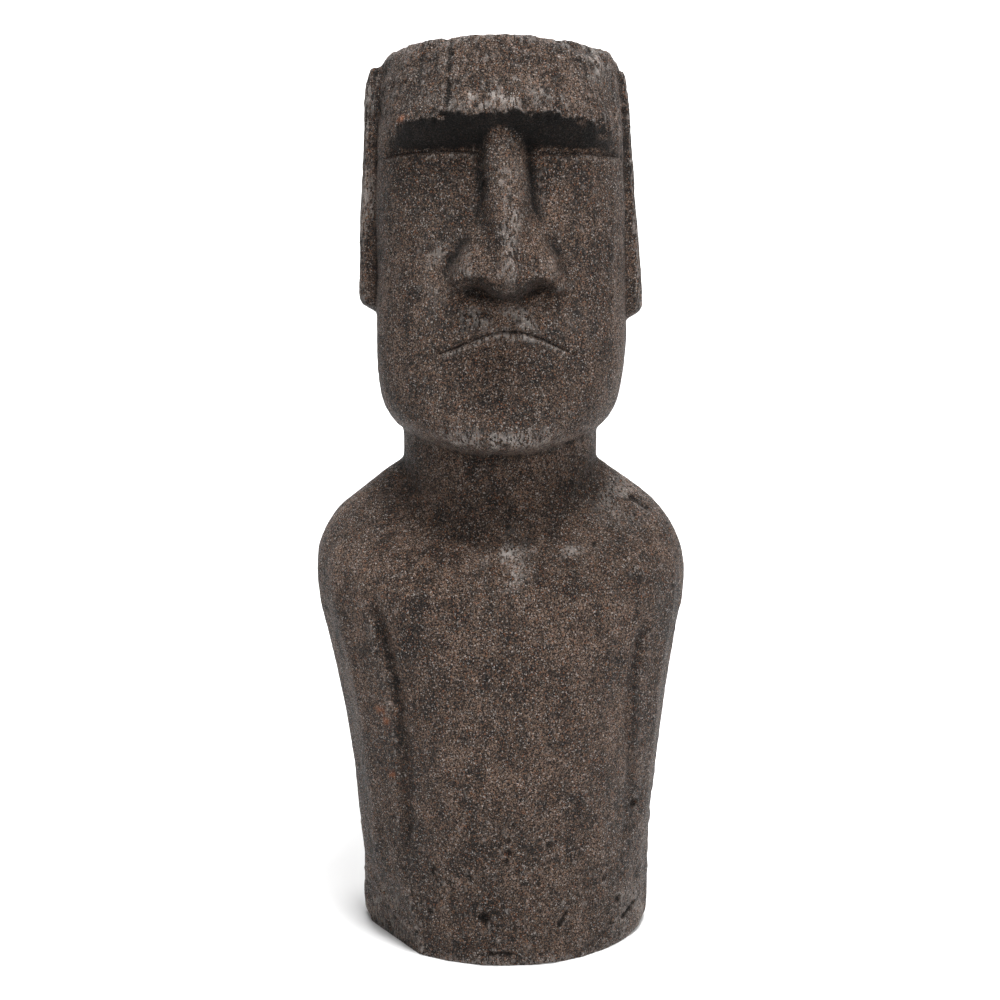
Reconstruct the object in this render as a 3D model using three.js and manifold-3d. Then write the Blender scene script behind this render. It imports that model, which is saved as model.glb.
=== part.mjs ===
// A garden figure cast in one body: a long head with slab ears, on a neck and a torso whose arms
// lie along its sides. Millimetres, +Z up. The face looks along -Y, and the origin is the middle of
// the flat underside.

import * as THREE from 'three';
import { mergeVertices } from 'three/addons/utils/BufferGeometryUtils.js';
import Module from 'manifold-3d';

const { clamp, degToRad, lerp, radToDeg, smoothstep } = THREE.MathUtils;

// Driving dimensions

const HEIGHT = 800;

// The shoulders and the head stand a little to one side of the base.
const LEAN = { shift: -4.5, from: 120, to: 330 };

// Sections from the ground up: half the width, the reach to the front and to the back from the
// middle, and how square the section is (2 is an ellipse).
const TORSO = [
  { z: 0, half: 130.5, front: 125, back: 119, square: 2.02 }, // ground
  { z: 12, half: 135.5, front: 126.5, back: 121, square: 2 }, // worn lower edge
  { z: 60, half: 136, front: 129, back: 122, square: 2.05 },
  { z: 130, half: 141, front: 131, back: 125, square: 2.2 },
  { z: 215, half: 152, front: 133, back: 128, square: 2.3 }, // belly
  { z: 270, half: 162, front: 131, back: 128, square: 2.3 },
  { z: 312, half: 171, front: 127, back: 126, square: 2.3 }, // breast
  { z: 335, half: 173, front: 120, back: 124, square: 2.3 }, // widest at the shoulders
  { z: 350, half: 172, front: 108, back: 119, square: 2.25 },
  { z: 366, half: 167.5, front: 89, back: 112, square: 2.2 }, // foot of the neck in front
  { z: 384, half: 158.5, front: 69, back: 104, square: 2.15 },
  { z: 400, half: 144, front: 54, back: 96, square: 2.1 },
  { z: 430, half: 103, front: 30, back: 75, square: 2 }, // foot of the neck at the sides
  { z: 446, half: 78, front: 18, back: 60, square: 2 },
];
const TORSO_RING_STEP = 15;

// The crease between arm and chest, on each side of the picture: how far out it lies by height.
const LEFT_CREASE = {
  side: -1,
  line: [{ z: 80, x: 90 }, { z: 160, x: 91 }, { z: 215, x: 94 }, { z: 270, x: 106 }, { z: 325, x: 121 }],
};
const RIGHT_CREASE = {
  side: 1,
  line: [{ z: 95, x: 108 }, { z: 135, x: 115 }, { z: 230, x: 114 }, { z: 300, x: 126 }],
};
const CREASE = { depth: 7, width: 6, fadeLow: 40, fadeHigh: 28, bandDegrees: 3, furthestOut: 0.85 };
const CHEST_HOLLOW = { depth: 3.5, width: 18, inset: 16 };
const TORSO_COLUMNS = { chest: 5, crease: 2, arm: 3, back: 6 };

const NECK = [
  { z: 325, half: 78, front: 96, back: 80, square: 2.1 },
  { z: 365, half: 84, front: 91, back: 80, square: 2.1 },
  { z: 400, half: 88, front: 84, back: 79, square: 2.1 },
  { z: 435, half: 89.5, front: 81, back: 78, square: 2.1 },
  { z: 475, half: 89.5, front: 80, back: 78, square: 2.1 },
  { z: 500, half: 80, front: 72, back: 70, square: 2.1 },
];
const NECK_ARCS = [{ to: 90, columns: 9 }, { to: 180, columns: 6 }];
const NECK_RING_STEP = 30;

// The plain head block, before the face is carved on its front.
const HEAD = [
  { z: 445.5, half: 42, front: 98, back: 36, square: 2.1 }, // under the chin
  { z: 449, half: 56, front: 106, back: 48, square: 2.1 },
  { z: 455, half: 72, front: 111, back: 60, square: 2.2 }, // edge of the chin
  { z: 463, half: 86, front: 112, back: 70, square: 2.3 },
  { z: 473, half: 97.5, front: 111, back: 77, square: 2.4 },
  { z: 486, half: 106.5, front: 109, back: 82, square: 2.5 }, // corner of the jaw
  { z: 505, half: 111.5, front: 106, back: 85, square: 2.6 },
  { z: 560, half: 115, front: 97, back: 89, square: 2.8 }, // upper lip
  { z: 610, half: 114, front: 94, back: 92, square: 2.9 },
  { z: 700, half: 112.5, front: 93, back: 93, square: 2.8 }, // top of the cheeks
  { z: 740, half: 112, front: 93.5, back: 92, square: 2.4 }, // brow
  { z: 785, half: 109, front: 93.5, back: 88, square: 2.05 },
  { z: 796, half: 107, front: 93.5, back: 86, square: 1.88 },
  { z: HEIGHT, half: 103.5, front: 92.5, back: 83, square: 1.82 }, // flat crown
];
const HEAD_ARCS = [{ to: 28, columns: 14 }, { to: 70, columns: 10 }, { to: 180, columns: 8 }];

// The carving of the face. A reach stands out from the plain block, and a depth goes into it.
const FACE_CENTRE = -1;
// The curved lines level off a little beyond their ends.
const LINE_END = 1.15;
// The lines run level again where the head turns this far towards its sides (a cosine).
const SIDE_TURN = 0.4;
const BROW = {
  z: 733, sag: 5, halfWidth: 90, reach: 18, crownReach: 0.5, sagTop: 790, edge: 2,
  crownBend: 1.2, underBend: 0.85,
};
const EYE = { z: 705, depth: 5, endLeft: 101, endRight: 106, endFade: 8, lip: 1.5, lipHeight: 12 };
const RIDGE = {
  top: 722, tip: 604, topFade: 14, topX: -3, tipX: 2, topHalf: 22, tipHalf: 31,
  topReach: 11, tipReach: 37, profile: 1.4, round: 2, tipRound: 34,
};
const WINGS = {
  z: 603, half: 54, topHalf: 26, up: 50, reach: 28, square: 3.4, topEase: 1.8, blend: 4,
};
const WING_VALLEY = { x: 25, width: 6, depth: 3 };
// The nose's lower edge hangs at the tip, arches over each nostril and comes down at the wings.
const HEM = {
  z: 590, tip: 583, arch: 595, end: 588, tipHalf: 6, archX: 26, endX: 48,
  drop: 9, spread: 15, fadeX: 62,
};
// How softly the nose's sides run out, and the height over which its foot meets the face.
const NOSE_SIDE = { ease: 1.25, seam: 2, foot: 3 };
const NOSTRIL = { x: 27, z: 586, width: 11, height: 5, depth: 4 };
const LIPS = {
  z: 549, centre: 2, halfWidth: 55, endFade: 12, sag: 17, sagFrom: 505, sagTo: 590, over: 4,
  groove: 2.8, grooveHeight: 1.4, rim: 1.2, rimDrop: 4, rimHeight: 2.5,
};
const MUZZLE = { z: 556, width: 62, height: 27, reach: 11 };
const UNDER_LIP = { z: 517, width: 62, height: 20, reach: -3 };
const CHIN = { z: 466, width: 78, height: 24, reach: 6 };

// Ring heights of the head: each band ends at a line of the face and holds some rings.
const HEAD_BANDS = [
  { to: CHIN.z - 10, rings: 3 },
  { to: CHIN.z + 20, rings: 4 },
  { to: LIPS.z - 11, rings: 5 },
  { to: LIPS.z - 2, rings: 2 },
  { to: LIPS.z + 2, rings: 2 },
  { to: HEM.z - 12, rings: 4 },
  { to: HEM.z, rings: 6 },
  { to: WINGS.z, rings: 4 },
  { to: WINGS.z + 46, rings: 5 },
  { to: EYE.z - 5, rings: 4 },
  { to: EYE.z, rings: 2 },
  { to: BROW.z - BROW.edge, rings: 4 },
  { to: BROW.z + BROW.edge, rings: 1 },
  { to: BROW.sagTop, rings: 3 },
  { to: HEIGHT, rings: 2 },
];

// The ears are slabs that widen downwards. Their outer edges are measured from the head's middle.
const LEFT_EAR = { side: -1, top: 791, foot: 579, outerTop: 122, outerFoot: 132 };
const RIGHT_EAR = { side: 1, top: 787, foot: 573, outerTop: 116, outerFoot: 132 };
const EAR = {
  inner: 100, front: -24, back: 40, square: 3.6, footSlope: 0.55, topRound: 12, footRound: 7,
  endInset: 6, groove: 3.5, grooveWidth: 3, grooveInset: 8, rings: 11, columns: 20,
};

// Small helpers

function bell(offset, width) {
  return Math.exp(-((offset / width) ** 2));
}

function smoothMax(a, b, softness) {
  const mix = clamp(0.5 + (a - b) / (2 * softness), 0, 1);
  return lerp(b, a, mix) + softness * mix * (1 - mix);
}

function lean(z) {
  return LEAN.shift * smoothstep(z, LEAN.from, LEAN.to);
}

// The value of `key` at height z, on a smooth curve through all the stations.
function valueAt(stations, z, key) {
  const last = stations.length - 1;
  let i = 0;
  while (i < last - 1 && z > stations[i + 1].z) i += 1;
  const [before, low, high, after] = [-1, 0, 1, 2].map((k) => stations[clamp(i + k, 0, last)]);
  const span = high.z - low.z;
  const t = clamp((z - low.z) / span, 0, 1);
  const slopeLow = (high[key] - before[key]) / (high.z - before.z);
  const slopeHigh = (after[key] - low[key]) / (after.z - low.z);
  const bend = span * t * (1 - t) * (slopeLow * (1 - t) - slopeHigh * t);
  return lerp(low[key], high[key], t * t * (3 - 2 * t)) + bend;
}

function sectionAt(stations, z) {
  const read = (key) => valueAt(stations, z, key);
  return { half: read('half'), front: read('front'), back: read('back'), square: read('square') };
}

// The point of a section in the direction `angle`, which is 0 at the front and grows towards +X.
function sectionPoint(section, angle) {
  const { half, front, back, square } = section;
  const across = Math.sin(angle);
  const ahead = Math.cos(angle);
  const reach = ahead > 0 ? front : back;
  const radius = (Math.abs(across / half) ** square + Math.abs(ahead / reach) ** square) ** (-1 / square);
  return { x: radius * across, y: -radius * ahead };
}

// The angles of one side of a ring, from the front to the back, as arcs of even columns.
function sideAngles(arcs) {
  const angles = [0];
  arcs.forEach((arc) => {
    const from = angles[angles.length - 1];
    for (let i = 1; i <= arc.columns; i += 1) angles.push(lerp(from, arc.to, i / arc.columns));
  });
  return angles.map(degToRad);
}

function ringAngles(leftArcs, rightArcs = leftArcs) {
  const mirrored = sideAngles(leftArcs).slice(1, -1).map((angle) => -angle).reverse();
  return [...mirrored, ...sideAngles(rightArcs)];
}

function evenHeights(low, high, step) {
  const count = Math.round((high - low) / step);
  return Array.from({ length: count + 1 }, (_, i) => lerp(low, high, i / count));
}

function middleOf(ring) {
  const centre = new THREE.Vector3();
  ring.forEach((point) => centre.add(point));
  return centre.divideScalar(ring.length);
}

// A closed skin over rings with the same number of points, with a flat fan at each end. Each quad
// is cut along its shorter diagonal.
function skin(rings) {
  const columns = rings[0].length;
  const topRing = rings.length - 1;
  const points = [...rings.flat(), middleOf(rings[0]), middleOf(rings[topRing])];
  const footIndex = rings.length * columns;
  const topIndex = footIndex + 1;
  const indices = [];
  for (let column = 0; column < columns; column += 1) {
    const next = (column + 1) % columns;
    for (let ring = 0; ring < topRing; ring += 1) {
      const low = ring * columns;
      const high = low + columns;
      const [a, b, c, d] = [low + column, low + next, high + next, high + column];
      const rising = points[a].distanceTo(points[c]) < points[b].distanceTo(points[d]);
      indices.push(...(rising ? [a, b, c, a, c, d] : [a, b, d, b, c, d]));
    }
    indices.push(footIndex, next, column);
    indices.push(topIndex, topRing * columns + column, topRing * columns + next);
  }
  const geometry = new THREE.BufferGeometry().setFromPoints(points);
  geometry.setIndex(indices);
  return geometry;
}

// Torso

// How far the surface stands out at a point of the torso: it goes in sharply at the crease and
// softly beside it on the chest.
function armRelief(crease, x, z) {
  const { side, line } = crease;
  const low = line[0].z;
  const high = line[line.length - 1].z;
  const fadeIn = smoothstep(z, low - CREASE.fadeLow, low + CREASE.fadeLow);
  const fadeOut = 1 - smoothstep(z, high - CREASE.fadeHigh, high + CREASE.fadeHigh);
  const inset = valueAt(line, z, 'x') - side * x;
  const sharp = CREASE.depth * bell(inset, CREASE.width);
  const soft = CHEST_HOLLOW.depth * bell(inset - CHEST_HOLLOW.inset, CHEST_HOLLOW.width);
  return -fadeIn * fadeOut * (sharp + soft);
}

// The columns of a torso ring gather along the crease, so that it stays sharp at every height.
function torsoArcs(crease, section, z) {
  const { half, front, square } = section;
  const out = valueAt(crease.line, z, 'x') - crease.side * lean(z);
  const share = clamp(out / half, 0, CREASE.furthestOut);
  const ahead = front * (1 - share ** square) ** (1 / square);
  const angle = radToDeg(Math.atan2(share * half, ahead));
  return [
    { to: angle - CREASE.bandDegrees, columns: TORSO_COLUMNS.chest },
    { to: angle + CREASE.bandDegrees, columns: TORSO_COLUMNS.crease },
    { to: 90, columns: TORSO_COLUMNS.arm },
    { to: 180, columns: TORSO_COLUMNS.back },
  ];
}

function torsoRing(z) {
  const section = sectionAt(TORSO, z);
  const angles = ringAngles(torsoArcs(LEFT_CREASE, section, z), torsoArcs(RIGHT_CREASE, section, z));
  return angles.map((angle) => {
    const { x, y } = sectionPoint(section, angle);
    const crease = x < 0 ? LEFT_CREASE : RIGHT_CREASE;
    const relief = y < 0 ? armRelief(crease, x + lean(z), z) : 0;
    const scale = 1 + relief / Math.hypot(x, y);
    return new THREE.Vector3(x * scale + lean(z), y * scale, z);
  });
}

function torso() {
  const [ground, wornEdge] = TORSO;
  const top = TORSO[TORSO.length - 1];
  return skin([ground.z, ...evenHeights(wornEdge.z, top.z, TORSO_RING_STEP)].map(torsoRing));
}

// Neck

function neckRing(z) {
  const section = sectionAt(NECK, z);
  return ringAngles(NECK_ARCS).map((angle) => {
    const { x, y } = sectionPoint(section, angle);
    return new THREE.Vector3(x + lean(z), y, z);
  });
}

function neck() {
  return skin(evenHeights(NECK[0].z, NECK[NECK.length - 1].z, NECK_RING_STEP).map(neckRing));
}

// Head

// The lower edge of the nose by the distance from its middle.
function noseHem(out) {
  const overNostril = (HEM.arch - HEM.tip) * smoothstep(out, HEM.tipHalf, HEM.archX);
  return HEM.tip + overNostril - (HEM.arch - HEM.end) * smoothstep(out, HEM.archX, HEM.endX);
}

// The lines of the brow and the mouth sink towards their ends, the nose's lower edge is arched, and
// the rings near them follow.
function followLines(x, z) {
  const browShare = clamp(Math.abs(x - FACE_CENTRE) / BROW.halfWidth, 0, LINE_END) ** 3;
  const nearBrow = z < BROW.z ? smoothstep(z, EYE.z, BROW.z) : 1 - smoothstep(z, BROW.z, BROW.sagTop);
  const mouthShare = clamp(Math.abs(x - LIPS.centre) / LIPS.halfWidth, 0, LINE_END) ** 2;
  const nearMouth = smoothstep(z, LIPS.sagFrom, LIPS.z) * (1 - smoothstep(z, LIPS.z + LIPS.over, LIPS.sagTo));
  const out = Math.abs(x - RIDGE.tipX);
  const nearHem = bell(z - HEM.z, HEM.spread) * (1 - smoothstep(out, HEM.endX, HEM.fadeX));
  const sunk = BROW.sag * browShare * nearBrow + LIPS.sag * mouthShare * nearMouth;
  return z - sunk + (noseHem(out) - HEM.z) * nearHem;
}

// The brow overhangs: its underside runs down and back to the eye line, where the cheek starts.
function browRelief(x, z) {
  if (z > BROW.z) {
    const rise = (z - BROW.z) / (HEIGHT - BROW.z);
    return lerp(BROW.reach, BROW.crownReach, rise ** BROW.crownBend);
  }
  if (z >= EYE.z) {
    const rise = (z - EYE.z) / (BROW.z - EYE.z);
    const end = x < FACE_CENTRE ? EYE.endLeft : EYE.endRight;
    const inside = 1 - smoothstep(Math.abs(x), end - EYE.endFade, end + EYE.endFade);
    return lerp(-EYE.depth * inside, BROW.reach, rise ** BROW.underBend);
  }
  return EYE.lip * bell(z - EYE.z, EYE.lipHeight);
}

// The nose: a rounded ridge that grows towards its tip, and two wings that spread at its foot.
function noseRelief(x, z) {
  const along = clamp((RIDGE.top - z) / (RIDGE.top - RIDGE.tip), 0, 1);
  const offset = x - lerp(RIDGE.topX, RIDGE.tipX, along);
  const out = Math.abs(offset);
  const topEnd = 1 - smoothstep(z, RIDGE.top, RIDGE.top + RIDGE.topFade);
  const underTip = Math.sqrt(1 - clamp((RIDGE.tip - z) / RIDGE.tipRound, 0, 0.95) ** 2);
  const ridgeHalf = lerp(RIDGE.topHalf, RIDGE.tipHalf, along ** 3);
  const ridgeShape = clamp(1 - (out / ridgeHalf) ** RIDGE.round, 0, 1) ** NOSE_SIDE.ease;
  const ridgeReach = lerp(RIDGE.topReach, RIDGE.tipReach, along ** RIDGE.profile);
  const ridge = ridgeReach * topEnd * underTip * ridgeShape;

  const rise = clamp((z - WINGS.z) / WINGS.up, 0, 1);
  const wingHalf = lerp(WINGS.half, WINGS.topHalf, rise);
  const wingShape = clamp(1 - (out / wingHalf) ** WINGS.square, 0, 1) ** NOSE_SIDE.ease;
  const valley = WING_VALLEY.depth * bell(out - WING_VALLEY.x, WING_VALLEY.width);
  const wings = (WINGS.reach - valley) * wingShape * (1 - rise * rise) ** WINGS.topEase;

  const hem = noseHem(out);
  return smoothMax(ridge, wings, WINGS.blend) * smoothstep(z, hem - HEM.drop, hem);
}

// The nose stands on the brow's relief where it has any height, and leaves the rest as it is.
function withNose(brow, nose) {
  return lerp(brow, smoothMax(brow, nose, NOSE_SIDE.seam), smoothstep(nose, 0, NOSE_SIDE.foot));
}

function nostrilRelief(x, z) {
  const across = Math.abs(x - RIDGE.tipX) - NOSTRIL.x;
  return -NOSTRIL.depth * bell(across, NOSTRIL.width) * bell(z - NOSTRIL.z, NOSTRIL.height);
}

// A thin downturned mouth: a groove with a raised rim under it.
function mouthRelief(x, z) {
  const out = Math.abs(x - LIPS.centre);
  const end = LIPS.halfWidth + LIPS.over;
  const inside = 1 - smoothstep(out, end - LIPS.endFade, end);
  const groove = -LIPS.groove * bell(z - LIPS.z, LIPS.grooveHeight);
  const rim = LIPS.rim * bell(z - LIPS.z + LIPS.rimDrop, LIPS.rimHeight);
  return inside * (groove + rim);
}

function swelling(shape, x, z) {
  return shape.reach * bell(x, shape.width) * bell(z - shape.z, shape.height);
}

function headHeights() {
  const heights = [HEAD[0].z];
  HEAD_BANDS.forEach((band) => {
    const from = heights[heights.length - 1];
    for (let ring = 1; ring <= band.rings; ring += 1) heights.push(lerp(from, band.to, ring / band.rings));
  });
  return heights;
}

function headRing(ringZ) {
  const section = sectionAt(HEAD, ringZ);
  return ringAngles(HEAD_ARCS).map((angle) => {
    const plain = sectionPoint(section, angle);
    const x = plain.x + LEAN.shift;
    const z = lerp(ringZ, followLines(x, ringZ), smoothstep(Math.cos(angle), 0, SIDE_TURN));
    const browAndNose = withNose(browRelief(x, ringZ), noseRelief(x, z));
    const hollows = nostrilRelief(x, z) + mouthRelief(x, ringZ);
    const jaw = swelling(MUZZLE, x, z) + swelling(UNDER_LIP, x, z) + swelling(CHIN, x, z);
    const facing = Math.max(0, -plain.y) / section.front;
    return new THREE.Vector3(x, plain.y - facing * (browAndNose + hollows + jaw), z);
  });
}

function head() {
  return skin(headHeights().map(headRing));
}

// Ears

// An ear's outline at a share of its height, with rounded ends and a groove down its front face.
function earRing(ear, share) {
  const z = lerp(ear.foot, ear.top, share);
  const topEnd = Math.sqrt(clamp((ear.top - z) / EAR.topRound, 0.1, 1));
  const footEnd = Math.sqrt(clamp((z - ear.foot) / EAR.footRound, 0.1, 1));
  const inset = (1 - Math.min(topEnd, footEnd)) * EAR.endInset;
  const outer = lerp(ear.outerFoot, ear.outerTop, share);
  const halfX = (outer - EAR.inner) / 2 - inset;
  const halfY = (EAR.back - EAR.front) / 2 - inset;
  const section = { half: halfX, front: halfY, back: halfY, square: EAR.square };
  return Array.from({ length: EAR.columns }, (_, i) => {
    const turn = (2 * Math.PI * i) / EAR.columns;
    const { x, y } = sectionPoint(section, Math.atan2(Math.sin(turn) * halfX, Math.cos(turn) * halfY));
    const groove = y < 0 ? EAR.groove * bell(halfX - EAR.grooveInset - x, EAR.grooveWidth) : 0;
    const sunk = (x - halfX) * EAR.footSlope * (1 - share);
    return new THREE.Vector3(
      LEAN.shift + ear.side * ((outer + EAR.inner) / 2 + x),
      (EAR.front + EAR.back) / 2 + y + groove,
      z + sunk,
    );
  });
}

// The rings gather at the rounded ends, and a mirrored ear runs its rings the other way round.
function earShell(ear) {
  const shares = Array.from({ length: EAR.rings }, (_, i) => (
    0.5 - 0.5 * Math.cos((Math.PI * i) / (EAR.rings - 1))
  ));
  const rings = shares.map((share) => earRing(ear, share));
  return skin(ear.side > 0 ? rings : rings.map((ring) => ring.reverse()));
}

// One closed solid

const wasm = await Module();
wasm.setup();

function toSolid(geometry) {
  const merged = mergeVertices(geometry);
  return new wasm.Manifold(new wasm.Mesh({
    numProp: 3,
    vertProperties: new Float32Array(merged.attributes.position.array),
    triVerts: new Uint32Array(merged.index.array),
  }));
}

function toGeometry(solid) {
  const mesh = solid.getMesh();
  const geometry = new THREE.BufferGeometry();
  geometry.setAttribute('position', new THREE.Float32BufferAttribute(mesh.vertProperties, 3));
  geometry.setIndex(Array.from(mesh.triVerts));
  return geometry;
}

function joined(shells) {
  const [first, ...others] = shells.map(toSolid);
  return toGeometry(others.reduce((sum, solid) => sum.add(solid), first));
}

const castStone = new THREE.MeshStandardMaterial({ color: 0x54483f, roughness: 0.72, metalness: 0 });
const shells = [torso(), neck(), head(), earShell(LEFT_EAR), earShell(RIGHT_EAR)];

const moai = new THREE.Mesh(joined(shells), castStone);
moai.name = 'moai';

const statue = new THREE.Group();
statue.add(moai);

export default statue;
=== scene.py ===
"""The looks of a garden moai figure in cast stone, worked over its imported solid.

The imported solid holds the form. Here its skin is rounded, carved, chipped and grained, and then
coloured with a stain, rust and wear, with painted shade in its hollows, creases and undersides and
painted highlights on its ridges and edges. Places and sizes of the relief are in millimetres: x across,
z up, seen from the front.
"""

import itertools
import logging
import math
from dataclasses import dataclass, field
from enum import Enum, IntEnum

import bmesh
import bpy
import numpy as np
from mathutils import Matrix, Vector
from mathutils.kdtree import KDTree


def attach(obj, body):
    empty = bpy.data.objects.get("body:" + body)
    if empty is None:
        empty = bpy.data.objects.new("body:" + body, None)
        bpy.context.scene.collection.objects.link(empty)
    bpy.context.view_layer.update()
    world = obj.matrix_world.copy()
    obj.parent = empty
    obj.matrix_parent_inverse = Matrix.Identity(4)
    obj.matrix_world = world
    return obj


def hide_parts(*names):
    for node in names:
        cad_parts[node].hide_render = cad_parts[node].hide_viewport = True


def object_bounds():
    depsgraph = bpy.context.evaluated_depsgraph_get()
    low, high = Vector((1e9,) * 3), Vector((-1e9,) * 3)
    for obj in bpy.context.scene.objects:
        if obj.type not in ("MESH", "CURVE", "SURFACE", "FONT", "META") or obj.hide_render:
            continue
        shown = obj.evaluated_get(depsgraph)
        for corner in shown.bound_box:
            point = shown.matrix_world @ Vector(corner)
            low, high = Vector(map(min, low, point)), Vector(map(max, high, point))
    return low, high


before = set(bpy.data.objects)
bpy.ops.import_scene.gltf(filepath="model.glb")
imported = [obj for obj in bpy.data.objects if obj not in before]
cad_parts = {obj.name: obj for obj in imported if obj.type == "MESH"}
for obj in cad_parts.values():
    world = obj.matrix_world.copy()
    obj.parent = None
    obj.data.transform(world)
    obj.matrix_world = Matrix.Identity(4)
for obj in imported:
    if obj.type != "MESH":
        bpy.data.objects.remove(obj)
CAD_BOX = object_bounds()

LOG = logging.getLogger("moai")
MM = 1000.0
NODE = "moai"
BODY = "root"

Array = np.ndarray
Span = tuple[float, float]
Path = tuple[Span, ...]
Tree = bpy.types.NodeTree
Socket = bpy.types.NodeSocket
Inputs = dict[str | int, object]


class Mask(Enum):
    """What is painted on the skin's points for the finish to read."""

    # Painted shade: hollows of the skin are darkened.
    HOLLOW = "hollow"
    # Wear and painted sheen: edges and ridges that stand out of the skin are lightened.
    WORN_AND_SHEEN = "worn"
    # Painted highlights and sheen on ridges, edges, the ears, the lips and the shoulder, and worn corners at
    # the base, lightened pale.
    PALE = "pale"
    RUST = "rust"
    # Painted shade: the face's undersides, creases, cracks, pits, the neck and below the mouth are darkened.
    PAINTED_SHADE = "stain"


class Pattern(Enum):
    """The patterns in the stone that its coats of colour and its raised grit follow."""

    UNEVEN = "uneven"
    CLOUD = "cloud"
    BROWN = "brown"
    GREY = "grey"
    BLACK = "black"
    PORE = "pore"
    FLAKE = "flake"
    GRIT = "grit"
    SEAM = "seam"


class Seed(IntEnum):
    """The seeds of everything that is drawn at random."""

    WOBBLE = 5
    LUMPS = 11
    DENTS = 12
    CRUMBS = 13
    STREAKS = 14
    CHISEL = 15
    FLAKES = 16
    PITS = 21
    BROW_CHIPS = 31


def bell(offset: Array, width: float) -> Array:
    """A smooth bump, 1 where the offset is 0, that fades over the width."""
    return np.exp(-np.square(offset / width))


def ramp(value: Array, start: float, end: float) -> Array:
    """A smooth rise from 0 at the start to 1 at the end, which may lie below the start."""
    share = np.clip((value - start) / (end - start), 0.0, 1.0)
    return share * share * (3.0 - 2.0 * share)


def linear(colour: str) -> tuple[float, float, float, float]:
    """Turns an sRGB colour into the linear one that shaders take.

    Args:
        colour: The colour as "#rrggbb".

    Returns:
        Linear red, green and blue, and an alpha of 1.
    """
    parts = [int(colour[i : i + 2], 16) / 255.0 for i in (1, 3, 5)]
    red, green, blue = (c / 12.92 if c <= 0.04045 else ((c + 0.055) / 1.055) ** 2.4 for c in parts)
    return red, green, blue, 1.0


def add(tree: Tree, kind: str, inputs: Inputs | None = None, **settings: object) -> bpy.types.Node:
    """Adds a node with its settings and fills its inputs.

    Args:
        tree: The node tree to add to.
        kind: The node's type, without its common prefix.
        inputs: A value to set or an output to link, for each input's name or number.
        settings: The node's own properties.

    Returns:
        The new node.
    """
    node = tree.nodes.new(f"ShaderNode{kind}")
    for name, value in settings.items():
        setattr(node, name, value)
    for name, value in (inputs or {}).items():
        if isinstance(value, Socket):
            tree.links.new(value, node.inputs[name])
        else:
            node.inputs[name].default_value = value
    return node


@dataclass
class Lattice:
    """Seeded smooth noise, about -1 to 1, on a lattice that repeats."""

    seed: int
    cells: int = 48
    # Each finer layer is read this far off, so that the layers' lattices don't line up.
    shift: float = 17.0
    values: Array = field(init=False)

    def __post_init__(self) -> None:
        """Draws the lattice's values."""
        draw = np.random.default_rng(int(self.seed))
        self.values = draw.uniform(-1.0, 1.0, (self.cells,) * 3)

    def at(self, points: Array, size: Array | float) -> Array:
        """Reads the noise at some points.

        Args:
            points: Places in millimetres, one row each.
            size: How far apart the lattice's values lie, for all axes or for each.

        Returns:
            One value for each point.
        """
        scaled = points / np.asarray(size)
        low = np.floor(scaled).astype(int)
        share = scaled - low
        share = share * share * (3.0 - 2.0 * share)
        total = np.zeros(len(points))
        for corner in itertools.product((0, 1), repeat=3):
            x, y, z = ((low + corner) % self.cells).T
            weight = np.prod(np.where(np.array(corner) == 1, share, 1.0 - share), axis=1)
            total += weight * self.values[x, y, z]
        return total

    def layered(self, points: Array, size: Array | float, layers: int = 3) -> Array:
        """Adds finer noise to coarse noise, each layer half as large and half as strong.

        Args:
            points: Places in millimetres, one row each.
            size: The coarsest layer's size.
            layers: How many layers are added up.

        Returns:
            One value for each point.
        """
        sizes = [np.asarray(size) / 2.0**layer for layer in range(layers)]
        read = (self.at(points + self.shift * layer, step) / 2.0**layer for layer, step in enumerate(sizes))
        return sum(read)


class Skin:
    """A mesh as arrays: points in millimetres, normals, and which points neighbour which."""

    # From this forward part of its normal on, a point counts as facing the front in full.
    full_facing = 0.35

    def __init__(self, mesh: bpy.types.Mesh) -> None:
        """Reads the mesh.

        Args:
            mesh: The mesh to read and later write.
        """
        self.mesh = mesh
        self.count = len(mesh.vertices)
        flat = np.empty(self.count * 3, np.float32)
        mesh.vertices.foreach_get("co", flat)
        self.points = flat.reshape(-1, 3).astype(float) * MM
        ends = np.empty(len(mesh.edges) * 2, np.int32)
        mesh.edges.foreach_get("vertices", ends)
        ends = ends.reshape(-1, 2)
        self.here = np.concatenate([ends[:, 0], ends[:, 1]])
        self.there = np.concatenate([ends[:, 1], ends[:, 0]])
        self.degree = np.bincount(self.here, minlength=self.count)
        self.normals = self.read_normals()

    def read_normals(self) -> Array:
        """Reads the normals of the mesh as it was last written."""
        flat = np.empty(self.count * 3, np.float32)
        self.mesh.vertex_normals.foreach_get("vector", flat)
        return flat.reshape(-1, 3).astype(float)

    def write(self) -> None:
        """Writes the points to the mesh and reads its new normals."""
        self.mesh.vertices.foreach_set("co", (self.points / MM).astype(np.float32).ravel())
        self.mesh.update()
        self.normals = self.read_normals()

    def averaged(self, values: Array) -> Array:
        """The mean of each point's neighbours.

        Args:
            values: One row for each point.

        Returns:
            The means, in the same form.
        """
        columns = values.reshape(self.count, -1).T
        sums = [np.bincount(self.here, column[self.there], self.count) for column in columns]
        return (np.array(sums) / self.degree).T.reshape(values.shape)

    def blurred(self, values: Array, rounds: int) -> Array:
        """Values after some rounds of averaging with the neighbours."""
        for _ in range(rounds):
            values = 0.5 * (values + self.averaged(values))
        return values

    def facing(self) -> Array:
        """How much each point faces the front, from 0 to 1."""
        return ramp(-self.normals[:, 1], 0.0, self.full_facing)


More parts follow.
